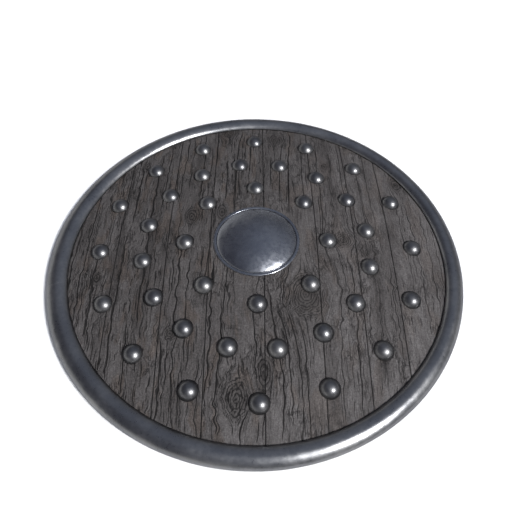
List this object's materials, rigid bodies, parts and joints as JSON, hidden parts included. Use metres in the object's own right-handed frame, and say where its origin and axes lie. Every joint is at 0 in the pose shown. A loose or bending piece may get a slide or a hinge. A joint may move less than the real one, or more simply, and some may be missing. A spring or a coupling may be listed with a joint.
{
  "type": "wooden round shield",
  "caption": "Round dished wooden shield of glued planks with a rolled steel rim, a central boss, domed nails and a grip at the back.",
  "frame": {"origin": "on the floor under the middle of the rim, with the shield lying on its rim, front up", "axes": "+Z out of the front through the boss, +Y along the planks, +X across the planks along the grip"},
  "size_m": [0.8, 0.8, 0.087],
  "materials": {
    "wood": "weathered, bare, dark grey-brown",
    "grip_wood": "worn smooth by the hand",
    "steel": "dark blue-grey, smooth, lightly worn"
  },
  "bodies": {
    "root": {"plank_1": "wood", "plank_2": "wood", "plank_3": "wood", "plank_4": "wood", "plank_5": "wood", "plank_6": "wood", "plank_7": "wood", "plank_8": "wood", "rim": "steel", "boss": "steel", "grip": "grip_wood", "stud_a1": "steel", "stud_a2": "steel", "stud_a3": "steel", "stud_a4": "steel", "stud_a5": "steel", "stud_a6": "steel", "stud_a7": "steel", "stud_a8": "steel", "stud_b1": "steel", "stud_b2": "steel", "stud_b3": "steel", "stud_b4": "steel", "stud_b5": "steel", "stud_b6": "steel", "stud_b7": "steel", "stud_b8": "steel", "stud_b9": "steel", "stud_b10": "steel", "stud_b11": "steel", "stud_b12": "steel", "stud_b13": "steel", "stud_b14": "steel", "stud_b15": "steel", "stud_b16": "steel", "stud_c1": "steel", "stud_c2": "steel", "stud_c3": "steel", "stud_c4": "steel", "stud_c5": "steel", "stud_c6": "steel", "stud_c7": "steel", "stud_c8": "steel", "stud_c9": "steel", "stud_c10": "steel", "stud_c11": "steel", "stud_c12": "steel", "stud_c13": "steel", "stud_c14": "steel", "stud_c15": "steel", "stud_c16": "steel"}
  },
  "joints": []
}
